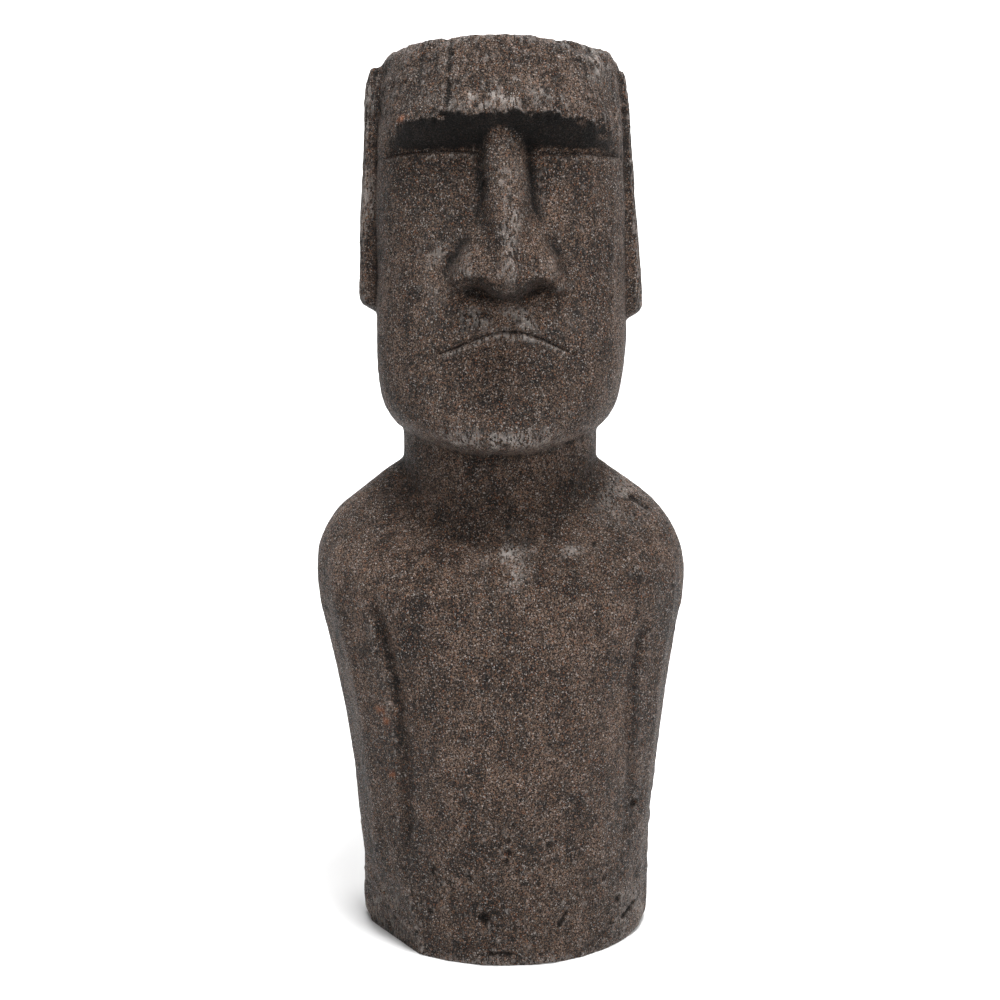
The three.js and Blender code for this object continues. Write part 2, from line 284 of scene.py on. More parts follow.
@dataclass(frozen=True)
class Line:
    """How a soft line is drawn on the front.

    Its amount is a rise in millimetres, below 0 where the line is cut in, or a share of colour.
    """

    half_width: float
    amount: float = 1.0
    fade: float = 6.0
    ragged: float = 0.5
    # Each end fades in from this share of the fade ahead of the path.
    overrun: float = 0.3

    def drawn(self, path: Path, skin: Skin, wobble: Array) -> Array:
        """Draws the line along a path.

        Args:
            path: Places on the front, x and z.
            skin: The skin to draw on.
            wobble: Noise that makes the line's edges uneven.

        Returns:
            How much of the amount reaches each point.
        """
        x, z = skin.points[:, 0], skin.points[:, 2]
        nearest = np.full(skin.count, np.inf)
        along = np.zeros(skin.count)
        length = 0.0
        for (x0, z0), (x1, z1) in itertools.pairwise(path):
            span = math.hypot(x1 - x0, z1 - z0)
            part = np.clip(((x - x0) * (x1 - x0) + (z - z0) * (z1 - z0)) / span**2, 0.0, 1.0)
            away = np.hypot(x - x0 - part * (x1 - x0), z - z0 - part * (z1 - z0))
            closer = away < nearest
            nearest = np.where(closer, away, nearest)
            along = np.where(closer, length + part * span, along)
            length += span
        early = -self.overrun * self.fade
        ends = ramp(along, early, self.fade) * ramp(length - along, early, self.fade)
        return self.amount * (bell(nearest + self.ragged * wobble, self.half_width) * ends * skin.facing())


@dataclass(frozen=True)
class Pit:
    """A hollow with uneven edges at a place on the front."""

    x: float
    z: float
    radius: float
    depth: float


@dataclass(frozen=True)
class Facet:
    """A flat that wear has left on a corner: whatever stands beyond its plane is gone."""

    point: tuple[float, float, float]
    outwards: tuple[float, float, float]
    top: float
    # The wear is whole from this share of its top height down.
    whole: float = 0.6

    @property
    def normal(self) -> Array:
        """The plane's outward direction, of length 1."""
        return np.array(self.outwards) / np.linalg.norm(self.outwards)

    def beyond(self, points: Array) -> Array:
        """How far each point stands beyond the plane, in millimetres."""
        return (points - np.array(self.point)) @ self.normal

    def reach(self, points: Array) -> Array:
        """How much of the wear reaches each point, less and less towards the top."""
        return ramp(points[:, 2], self.top, self.whole * self.top)

    def cut(self, points: Array) -> Array:
        """How each point moves when it is brought back to the plane."""
        return -(np.maximum(self.beyond(points), 0.0) * self.reach(points))[:, None] * self.normal


@dataclass(frozen=True)
class Patch:
    """A patch of colour on the front with a soft edge."""

    x: float
    z: float
    half_width: float
    half_height: float
    strength: float = 1.0

    def drawn(self, points: Array) -> Array:
        """How strong the patch is at each point."""
        across = (points[:, 0] - self.x) / self.half_width
        upright = (points[:, 2] - self.z) / self.half_height
        return self.strength * bell(np.hypot(across, upright), 1.0)


class Relief:
    """Adds up how far the skin moves along its normals, in millimetres."""

    wobble_mm = 9.0
    pit_ragged = 0.35
    # How much nearer a point counts for each millimetre that it lies further to the front.
    front_first = 0.02

    def __init__(self, skin: Skin) -> None:
        """Starts with a plain skin.

        Args:
            skin: The skin that the relief is for.
        """
        self.skin = skin
        self.move = np.zeros(skin.count)
        self.wobble = Lattice(Seed.WOBBLE).layered(skin.points, self.wobble_mm)
        self.by_height = np.argsort(skin.points[:, 2])
        self.heights = skin.points[self.by_height, 2]

    def line(self, path: Path, line: Line) -> None:
        """Cuts or raises a line along a path."""
        self.move += line.drawn(path, self.skin, self.wobble)

    def pit_at(self, centre: Array, radius: float, depth: float) -> None:
        """Sinks a hollow round a point of the skin.

        Args:
            centre: The point, in millimetres.
            radius: How far the hollow reaches.
            depth: How deep its middle is.
        """
        low, high = np.searchsorted(self.heights, (centre[2] - 2 * radius, centre[2] + 2 * radius))
        near = self.by_height[low:high]
        away = np.linalg.norm(self.skin.points[near] - centre, axis=1) / radius
        uneven = away * (1.0 + self.pit_ragged * self.wobble[near])
        self.move[near] -= depth * np.square(np.clip(1.0 - np.square(uneven), 0.0, 1.0))

    def pit(self, pit: Pit) -> None:
        """Sinks a hollow at a place on the front, which is nearer than the back behind it."""
        points = self.skin.points
        away = np.hypot(points[:, 0] - pit.x, points[:, 2] - pit.z) + self.front_first * points[:, 1]
        self.pit_at(points[np.argmin(away)], pit.radius, pit.depth)


@dataclass(frozen=True)
class FaceCarving:
    """The carved lines of the face, cut again sharply over the rounded skin."""

    mouth: Path = (
        (-57, 532), (-44, 537), (-31, 542), (-18, 547.5), (-5, 550.5),
        (8, 550.5), (20, 548.5), (33, 544), (46, 537.5), (57, 532.5),
    )
    mouth_ticks: tuple[Path, ...] = (((-60, 537), (-56, 531)), ((57, 531), (62, 535)))
    rim_drop: float = 3.2
    eyes: tuple[Path, ...] = (
        ((-109, 702), (-96, 704), (-65, 704), (-30, 703.5), (-22, 700)),
        ((15, 700), (46, 702), (80, 703), (96, 705), (105, 706)),
    )
    nostrils: tuple[Path, ...] = (
        ((-43, 588), (-33, 592), (-22, 593), (-11, 588), (-2, 582)),
        ((11, 582), (19, 588), (27, 592), (39, 591)),
    )
    nose_foot: Path = ((-49, 592), (-38, 586), (-18, 580), (-2, 576), (16, 580), (32, 587), (47, 592))
    wing_creases: tuple[Path, ...] = (
        ((-27, 634), (-36, 626), (-46, 614), (-51, 602), (-51, 592)),
        ((29, 634), (38, 626), (47, 614), (51, 602), (51, 592)),
    )
    nose_flanks: tuple[Path, ...] = (
        ((-22, 718), (-22, 690), (-22, 664), (-26, 646)),
        ((18, 718), (21, 690), (24, 664), (28, 646)),
    )
    brow_edge: Path = (
        (-98, 727), (-82, 730), (-55, 729.5), (-45, 732), (-20, 732.5), (0, 734),
        (14, 733.5), (34, 731), (50, 731), (58, 729), (72, 729), (94, 726),
    )
    mouth_cut: Line = Line(1.0, -1.7, fade=8.0, ragged=0.35)
    rim_ridge: Line = Line(2.0, 0.7, fade=14.0)
    tick_cut: Line = Line(1.2, -1.6, fade=2.0)
    eye_cut: Line = Line(1.6, -1.2, fade=8.0)
    lid_ridge: Line = Line(2.4, 0.5, fade=12.0, ragged=1.5)
    lid_drop: float = 4.0
    nostril_cut: Line = Line(2.6, -1.2)
    foot_cut: Line = Line(2.4, -1.6, fade=5.0)
    wing_cut: Line = Line(4.4, -2.6, fade=12.0)
    flank_cut: Line = Line(3.4, -2.2, fade=14.0)
    brow_band: Line = Line(5.0, fade=4.0)
    brow_rise: float = 0.6
    brow_chip_mm: tuple[float, float, float] = (5.0, 5.0, 9.0)
    brow_chip_depth: float = 2.4
    brow_chip_top: float = 0.35
    # Painted shade in the creases round the nose and along the carved lines.
    crease_shade: Line = Line(5.0, 0.55, fade=12.0, ragged=1.5)
    line_shade: Line = Line(2.2, 0.5, ragged=1.0)

    @property
    def fine_lines(self) -> tuple[Path, ...]:
        """The lines that need the finest faces."""
        return (self.mouth, *self.mouth_ticks, *self.eyes, *self.nostrils, self.nose_foot, self.brow_edge)

    @property
    def mouth_rim(self) -> Path:
        """The lower lip's edge, just below the mouth."""
        return tuple((x, z - self.rim_drop) for x, z in self.mouth)

    def creases(self, skin: Skin, wobble: Array) -> Array:
        """How much painted shade darkens the creases round the nose and the lines at the eyes.

        Args:
            skin: The finished skin.
            wobble: Noise that makes the lines' edges uneven.

        Returns:
            A share from 0 to 1 for each point.
        """
        left = np.zeros(skin.count)
        for path in (*self.wing_creases, *self.nose_flanks):
            left = np.maximum(left, self.crease_shade.drawn(path, skin, wobble))
        for path in (*self.eyes, *self.nostrils, self.nose_foot):
            left = np.maximum(left, self.line_shade.drawn(path, skin, wobble))
        return left

    def carve(self, relief: Relief) -> None:
        """Carves the mouth, the eye lines and the nose.

        Args:
            relief: The relief to add to.
        """
        relief.line(self.mouth, self.mouth_cut)
        relief.line(self.mouth_rim[1:-1], self.rim_ridge)
        for tick in self.mouth_ticks:
            relief.line(tick, self.tick_cut)
        for eye in self.eyes:
            relief.line(eye, self.eye_cut)
            relief.line(tuple((x, z - self.lid_drop) for x, z in eye), self.lid_ridge)
        for nostril in self.nostrils:
            relief.line(nostril, self.nostril_cut)
        relief.line(self.nose_foot, self.foot_cut)
        for crease in self.wing_creases:
            relief.line(crease, self.wing_cut)
        for flank in self.nose_flanks:
            relief.line(flank, self.flank_cut)
        edge = self.brow_band.drawn(self.brow_edge, relief.skin, relief.wobble)
        chips = Lattice(Seed.BROW_CHIPS).layered(relief.skin.points, self.brow_chip_mm)
        relief.move += edge * (self.brow_rise + self.brow_chip_depth * np.minimum(chips, self.brow_chip_top))


@dataclass(frozen=True)
class BodyCarving:
    """The creases of the arms and of the neck's foot, and the marks of wear on the body."""

    arms: tuple[Path, ...] = (
        ((-120, 325), (-111, 306), (-104, 274), (-97, 246), (-93, 222), (-91, 189), (-90, 126), (-90, 89)),
        ((124, 300), (119, 280), (116, 256), (113, 233), (113, 190), (114, 150), (115, 122), (110, 95)),
    )
    yokes: tuple[Path, ...] = (
        ((-92, 427), (-72, 402), (-58, 386), (-45, 374), (-22, 364)),
        ((88, 440), (72, 420), (58, 398), (48, 381), (36, 368)),
    )
    ledge: Path = ((-22, 362), (-5, 361), (12, 361), (30, 362), (48, 366))
    seam: Path = ((-131, 57), (-119, 40), (-104, 26), (-81, 18))
    cracks: tuple[Path, ...] = (
        ((56, 48), (51, 41), (45, 32)),
        ((-17, 11), (-5, 12), (7, 11)),
        ((112, 405), (122, 399), (133, 390)),
        ((118, 31), (112, 26), (104, 24)),
    )
    pits: tuple[Pit, ...] = (
        Pit(-19, 45, 7, 3.2), Pit(-49, 73, 5, 2), Pit(-64, 82, 4.5, 1.8), Pit(-32, 81, 4, 1.6),
        Pit(-66, 43, 5, 2), Pit(-81, 20, 5, 2.2), Pit(7, 128, 4, 1.8), Pit(2, 115, 4, 1.4),
        Pit(3, 104, 5, 1.8), Pit(1, 96, 4, 1.4), Pit(38, 109, 4, 1.6), Pit(66, 96, 4, 1.6),
        Pit(88, 69, 5, 2), Pit(101, 45, 6, 2.4), Pit(118, 31, 5, 2.2), Pit(-19, 438, 2.4, 2.6),
        Pit(78, 364, 3.5, 2), Pit(51, 221, 3, 1.6), Pit(28, 252, 3, 1.4), Pit(117, 129, 7, 3.4),
    )
    forehead_cracks: tuple[Path, ...] = (
        ((-46, 799), (-47, 780), (-49, 765), (-48, 748), (-50, 735)),
        ((-72, 792), (-74, 770), (-72, 745)),
        ((-28, 760), (-30, 745), (-29, 735)),
    )
    rim_chips: tuple[Pit, ...] = (
        Pit(46, 798, 7, 3.0), Pit(60, 796, 8, 3.6), Pit(74, 793, 8, 3.4), Pit(87, 787, 8, 3.8),
        Pit(96, 779, 7, 3.0), Pit(-72, 794, 6, 1.6), Pit(-50, 798, 5, 1.4), Pit(14, 799, 5, 1.2),
    )
    arm_cut: Line = Line(4.0, -1.1, fade=55.0, ragged=2.0)
    yoke_cut: Line = Line(3.4, -0.9, fade=16.0, ragged=2.6)
    ledge_ridge: Line = Line(3.5, 1.0, fade=14.0, ragged=2.6)
    seam_ridge: Line = Line(3.2, 2.4, fade=10.0, ragged=1.0)
    crack_cut: Line = Line(2.3, -2.8, fade=4.0, ragged=0.8)
    forehead_cuts: tuple[Line, ...] = (
        Line(1.9, -1.9, fade=9.0, ragged=1.5),
        Line(1.9, -0.9, fade=9.0, ragged=1.5),
        Line(1.9, -0.9, fade=9.0, ragged=1.5),
    )
    # Painted shade in the cracks, the arm creases and round the pits.
    crack_shade: Line = Line(1.8, 0.8, fade=4.0, ragged=1.4)
    arm_shade: Line = Line(4.0, 0.35, fade=30.0, ragged=3.0)
    pit_shade: float = 0.5
    pit_shade_ragged: float = 2.0
    pit_shade_height: float = 0.7

    def shade_in_creases(self, skin: Skin, wobble: Array) -> Array:
        """How much painted shade darkens the body's cracks, creases and pits.

        Args:
            skin: The finished skin.
            wobble: Noise that makes the lines' edges uneven.

        Returns:
            A share from 0 to 1 for each point.
        """
        left = np.zeros(skin.count)
        for path in (*self.cracks, self.forehead_cracks[0]):
            left = np.maximum(left, self.crack_shade.drawn(path, skin, wobble))
        for path in self.arms:
            left = np.maximum(left, self.arm_shade.drawn(path, skin, wobble))
        x, z = skin.points[:, 0], skin.points[:, 2]
        for pit in self.pits:
            away = np.hypot(x - pit.x, self.pit_shade_height * (z - pit.z)) + self.pit_shade_ragged * wobble
            left = np.maximum(left, self.pit_shade * (bell(away, 0.5 * pit.radius) * skin.facing()))
        return left

    def carve(self, relief: Relief) -> None:
        """Carves the body's creases and its larger pits, chips and cracks.

        Args:
            relief: The relief to add to.
        """
        for arm in self.arms:
            relief.line(arm, self.arm_cut)
        for yoke in self.yokes:
            relief.line(yoke, self.yoke_cut)
        relief.line(self.ledge, self.ledge_ridge)
        for crack, cut in zip(self.forehead_cracks, self.forehead_cuts):
            relief.line(crack, cut)
        relief.line(self.seam, self.seam_ridge)
        for crack in self.cracks:
            relief.line(crack, self.crack_cut)
        for pit in (*self.pits, *self.rim_chips):
            relief.pit(pit)


@dataclass(frozen=True)
class Grain:
    """The unevenness of hand-worked, cast cement, from lumps down to what the mesh can hold.

    Spans are where a part of the figure begins and where it is full.
    """

    forehead_z: Span = (728.0, 745.0)
    cheeks_z: Span = (560.0, 600.0)
    low_z: Span = (190.0, 60.0)
    brow_z: float = 742.0
    brow_reach: float = 13.0
    roughness: float = 0.75
    low_extra: float = 0.6
    forehead_extra: float = 0.7
    cheeks_extra: float = 0.35
    back_share: float = 0.6
    lump_mm: float = 55.0
    lump_depth: float = 1.3
    dent_mm: float = 17.0
    dent_depth: float = 0.7
    crumb_mm: float = 5.0
    crumb_depth: float = 0.5
    streak_mm: tuple[float, float, float] = (6.0, 6.0, 70.0)
    streak_depth: float = 0.45
    streak_everywhere: float = 0.5
    chisel_mm: tuple[float, float, float] = (16.0, 16.0, 7.0)
    chisel_depth: float = 0.7
    flake_mm: tuple[float, float, float] = (5.0, 5.0, 12.0)
    flake_depth: float = 0.9
    pit_count: int = 900
    pit_radius: Span = (1.6, 4.2)
    pit_depth: Span = (0.4, 1.3)
    pitted_z: Span = (260.0, 80.0)
    pitted_share: float = 0.35

    def work(self, relief: Relief) -> None:
        """Adds the grain to a relief, more of it low on the body and on the forehead.

        Args:
            relief: The relief to add to.
        """
        points = relief.skin.points
        z = points[:, 2]
        facing = relief.skin.facing()
        forehead = ramp(z, *self.forehead_z)
        low = ramp(z, *self.low_z)
        cheeks = ramp(z, *self.cheeks_z) * (1.0 - forehead)
        band = bell(z - self.brow_z, self.brow_reach) * facing
        rough = self.roughness + self.low_extra * low + self.forehead_extra * forehead
        rough += self.cheeks_extra * cheeks
        rough *= self.back_share + (1.0 - self.back_share) * facing
        relief.move += self.lump_depth * Lattice(Seed.LUMPS).at(points, self.lump_mm)
        relief.move += self.dent_depth * rough * Lattice(Seed.DENTS).layered(points, self.dent_mm)
        relief.move += self.crumb_depth * rough * Lattice(Seed.CRUMBS).layered(points, self.crumb_mm, 2)
        streaks = Lattice(Seed.STREAKS).layered(points, self.streak_mm, 2)
        relief.move += self.streak_depth * (self.streak_everywhere + forehead) * streaks
        relief.move += self.chisel_depth * forehead * Lattice(Seed.CHISEL).layered(points, self.chisel_mm, 2)
        relief.move += self.flake_depth * band * Lattice(Seed.FLAKES).layered(points, self.flake_mm, 2)
        self.scatter_pits(relief)

    def scatter_pits(self, relief: Relief) -> None:
        """Scatters small pits, most of them low on the body.

        Args:
            relief: The relief to add to.
        """
        draw = np.random.default_rng(int(Seed.PITS))
        points = relief.skin.points
        places = draw.integers(0, len(points), self.pit_count)
        keep = draw.uniform(0.0, 1.0, self.pit_count)
        radii = draw.uniform(*self.pit_radius, self.pit_count)
        depths = draw.uniform(*self.pit_depth, self.pit_count)
        for place, chance, radius, depth in zip(places, keep, radii, depths):
            low = float(ramp(points[place, 2], *self.pitted_z))
            wanted = self.pitted_share + (1.0 - self.pitted_share) * low
            if chance < wanted:
                relief.pit_at(points[place], radius, depth)


@dataclass(frozen=True)
class Rounding:
    """How the solid's flat facets are rounded away, and where its form stays sharp.

    Spans are where a part of the figure begins and where it is full.
    """

    # Each round shrinks the skin and then swells it back by nearly as much.
    rounds: int = 90
    shrink: float = 0.6
    swell: float = 0.58
    middle_x: float = -4.5
    front_y: Span = (-20.0, -45.0)
    below_nose_z: Span = (575.0, 560.0)
    above_brow_z: Span = (730.0, 742.0)
    mouth_z: float = 543.0
    mouth_reach: float = 14.0
    mouth_x: Span = (75.0, 60.0)
    head_z: Span = (446.0, 452.0)
    ears_x: Span = (106.0, 110.0)
    ears_kept: float = 0.92
    jaw_z: float = 455.0
    jaw_reach: float = 20.0
    jaw_kept: float = 0.9
    crown_z: Span = (780.0, 794.0)
    crown_kept: float = 0.9
    base_z: Span = (3.0, 16.0)
    base_softness: float = 0.04
    nose_x: Span = (66.0, 58.0)
    nose_bottom_z: Span = (566.0, 574.0)
    nose_top_z: Span = (730.0, 718.0)
    nose_softness: float = 0.3
    eyes_z: float = 704.0
    eyes_reach: float = 8.0
    eyes_x: Span = (20.0, 27.0)
    least_softness: float = 0.05
    yoke_z: float = 392.0
    yoke_reach: float = 34.0
    yoke_softness: float = 0.5

    def softness(self, points: Array) -> Array:
        """How much each point may be rounded: little where the form is sharp.

        Args:
            points: Places in millimetres.

        Returns:
            A share from 0 to 1 for each point.
        """
        x, y, z = np.abs(points[:, 0] - self.middle_x), points[:, 1], points[:, 2]
        in_front = ramp(y, *self.front_y)
        face = ramp(z, *self.below_nose_z) + ramp(z, *self.above_brow_z)
        mouth = bell(z - self.mouth_z, self.mouth_reach) * ramp(x, *self.mouth_x)
        carved = 1.0 - in_front * (1.0 - np.clip(face - mouth, 0.0, 1.0))
        head = ramp(z, *self.head_z)
        soft = 1.0 - head * (1.0 - carved)
        soft *= 1.0 - self.ears_kept * (head * ramp(x, *self.ears_x))
        soft *= 1.0 - self.jaw_kept * bell(z - self.jaw_z, self.jaw_reach)
        soft *= 1.0 - self.crown_kept * ramp(z, *self.crown_z)
        soft *= self.base_softness + (1.0 - self.base_softness) * ramp(z, *self.base_z)
        nose = in_front * ramp(x, *self.nose_x) * ramp(z, *self.nose_bottom_z) * ramp(z, *self.nose_top_z)
        nose *= 1.0 - bell(z - self.eyes_z, self.eyes_reach) * ramp(x, *self.eyes_x)
        soft = self.least_softness + (1.0 - self.least_softness) * soft
        return np.clip(soft + self.nose_softness * nose, 0.0, 1.0)

    def smooth(self, skin: Skin) -> None:
        """Rounds the facets away without shrinking the form, and softens the neck's foot.

        Args:
            skin: The skin to round.
        """
        soft = self.softness(skin.points)[:, None]
        for _ in range(self.rounds):
            skin.points += self.shrink * soft * (skin.averaged(skin.points) - skin.points)
            skin.points -= self.swell * soft * (skin.averaged(skin.points) - skin.points)
        yoke = self.yoke_softness * bell(skin.points[:, 2] - self.yoke_z, self.yoke_reach)[:, None]
        for _ in range(self.rounds):
            skin.points += yoke * (skin.averaged(skin.points) - skin.points)
        skin.write()


@dataclass(frozen=True)
class PaintedLightAndWear:
    """Where shade is painted dark, where edges and places are lightened pale as wear and painted sheen and
    highlights, and where iron shows.

    Spans are the values at which a share begins and at which it is full.
    """

    fine_rounds: int = 6
    broad_rounds: int = 60
    # Hollows, found from the skin's shape, are darkened as painted shade.
    fine_hollow: Span = (-0.08, -0.6)
    broad_hollow: Span = (-0.8, -3.0)
    broad_hollow_share: float = 0.5
    # Edges that stand out are lightened: wear, with painted sheen.
    fine_edge: Span = (0.12, 0.5)
    broad_edge: Span = (0.7, 2.6)
    patchy: Span = (-0.4, 0.3)
    # Patches of painted highlight and sheen, lightened pale.
    highlight_patches: tuple[Patch, ...] = (
        Patch(0, 352, 14, 17, 0.9),  # below the neck
        Patch(58, 360, 10, 9, 0.5),  # on the collar line
        Patch(-14, 744, 40, 9),  # along the brow's edge
        Patch(76, 782, 8, 14, 0.8),  # at the crown's corner
        Patch(8, 650, 5, 32, 0.5),  # down the nose
        Patch(-2, 458, 60, 8, 0.6),  # along the chin's edge
        Patch(4, 562, 44, 10, 0.5),  # on the upper lip
        Patch(-58, 612, 10, 30, 0.35),  # beside the nose
        Patch(105, 402, 24, 22, 0.35),  # on the shoulder
    )
    # A painted highlight along the lower lip's edge.
    mouth_rim: Line = Line(2.2, 0.4, fade=4.0)
    # Painted highlights on the ears' front bands.
    ear_edge_x: Span = (-117.0, -119.0)
    ear_front_y: Span = (0.0, -8.0)
    ear_bands: tuple[Span, ...] = ((760.0, 14.0), (672.0, 26.0))
    ear_strength: float = 0.5
    corner_reach: float = 1.5
    corner_strength: float = 0.3
    iron: Path = ((-110, 222), (-105, 212), (-100, 163), (-89, 732))
    iron_mm: float = 2.5
    # Painted shade on surfaces that face down, below the brow and the nose.
    facing_rounds: int = 5
    facing_down: Span = (0.12, 0.4)
    above_lip_z: Span = (560.0, 572.0)
    below_nose: float = 0.6
    brow_z: Span = (640.0, 690.0)
    # Painted shade below the mouth, where the face turns slightly down.
    chin: Patch = Patch(0, 500, 62, 30, 0.2)
    # Painted shade on the neck, under the chin.
    neck_strength: float = 0.25
    neck_foot: Span = (-6.0, 5.0)
    neck_ragged: float = 2.0
    neck_z: Span = (458.0, 440.0)
    neck_x: Span = (100.0, 84.0)
    middle_x: float = -4.5

    def masks(
        self, skin: Skin, wobble: Array, face: FaceCarving, body: BodyCarving, corners: tuple[Facet, ...]
    ) -> dict[Mask, Array]:
        """Works out every mask.

        Args:
            skin: The finished skin.
            wobble: Noise that makes edges uneven.
            face: The carving of the face.
            body: The carving of the body.
            corners: The worn corners at the base.

        Returns:
            A share from 0 to 1 for each mask and point.
        """
        fine = self.stands_out(skin, self.fine_rounds)
        broad = self.stands_out(skin, self.broad_rounds)
        # Hollows are darkened as painted shade; edges that stand out are lightened as wear and painted
        # sheen.
        hollow = ramp(fine, *self.fine_hollow) + self.broad_hollow_share * ramp(broad, *self.broad_hollow)
        shares = {
            Mask.HOLLOW: hollow,
            Mask.WORN_AND_SHEEN: ramp(fine, *self.fine_edge) + ramp(broad, *self.broad_edge),
            Mask.PALE: self.pale(skin, wobble, face, corners),
            Mask.RUST: self.rust(skin),
            Mask.PAINTED_SHADE: self.stain(skin, wobble, face, body),
        }
        return {mask: np.clip(share, 0.0, 1.0) for mask, share in shares.items()}

    def stands_out(self, skin: Skin, rounds: int) -> Array:
        """How far each point stands out of the skin round it, in millimetres.

        Args:
            skin: The finished skin.
            rounds: How far the skin round a point reaches, in rounds of blurring.

        Returns:
            One distance for each point, below 0 in a hollow.
        """
        return np.sum((skin.points - skin.blurred(skin.points, rounds)) * skin.normals, axis=1)

    def pale(self, skin: Skin, wobble: Array, face: FaceCarving, corners: tuple[Facet, ...]) -> Array:
        """Where highlights and sheen are painted pale, and where the base's corners are worn pale.

        Args:
            skin: The finished skin.
            wobble: Noise that makes edges uneven.
            face: The carving of the face.
            corners: The worn corners at the base.

        Returns:
            A share for each point.
        """
        x, y, z = skin.points.T
        pale = sum(patch.drawn(skin.points) for patch in self.highlight_patches)
        pale += self.mouth_rim.drawn(face.mouth_rim, skin, wobble)
        pale *= skin.facing()
        bands = sum(bell(z - height, reach) for height, reach in self.ear_bands)
        pale += self.ear_strength * ramp(x, *self.ear_edge_x) * bands * ramp(y, *self.ear_front_y)
        for corner in corners:
            edge = bell(corner.beyond(skin.points), self.corner_reach)
            pale += self.corner_strength * edge * corner.reach(skin.points)
        return pale * ramp(wobble, *self.patchy)

    def rust(self, skin: Skin) -> Array:
        """Where grains of iron have rusted on the front."""
        spots = (Patch(x, z, self.iron_mm, self.iron_mm) for x, z in self.iron)
        return sum(spot.drawn(skin.points) for spot in spots) * skin.facing()

    def stain(self, skin: Skin, wobble: Array, face: FaceCarving, body: BodyCarving) -> Array:
        """Painted shade, darkening the undersides of the face, creases, the neck and the chin.

        Args:
            skin: The finished skin.
            wobble: Noise that makes edges uneven.
            face: The carving of the face.
            body: The carving of the body.

        Returns:
            A share for each point.
        """
        x, _, z = skin.points.T
        # Painted shade: points that face down, under the brow and the nose, are darkened.
        downwards = -skin.blurred(skin.normals[:, 2], self.facing_rounds)
        under = ramp(downwards, *self.facing_down) * ramp(z, *self.above_lip_z)
        under *= self.below_nose + (1.0 - self.below_nose) * ramp(z, *self.brow_z)
        under = np.maximum(under, face.creases(skin, wobble))
        under = np.maximum(under, body.shade_in_creases(skin, wobble))
        yoke_x, yoke_z = zip(*body.yokes[0], *reversed(body.yokes[1]))
        # Painted shade on the neck, above the neck's foot.
        neck = ramp(z - np.interp(x, yoke_x, yoke_z) - self.neck_ragged * wobble, *self.neck_foot)
        neck *= ramp(z, *self.neck_z) * ramp(np.abs(x - self.middle_x), *self.neck_x)
        return under + self.neck_strength * neck + self.chin.drawn(skin.points) * skin.facing()


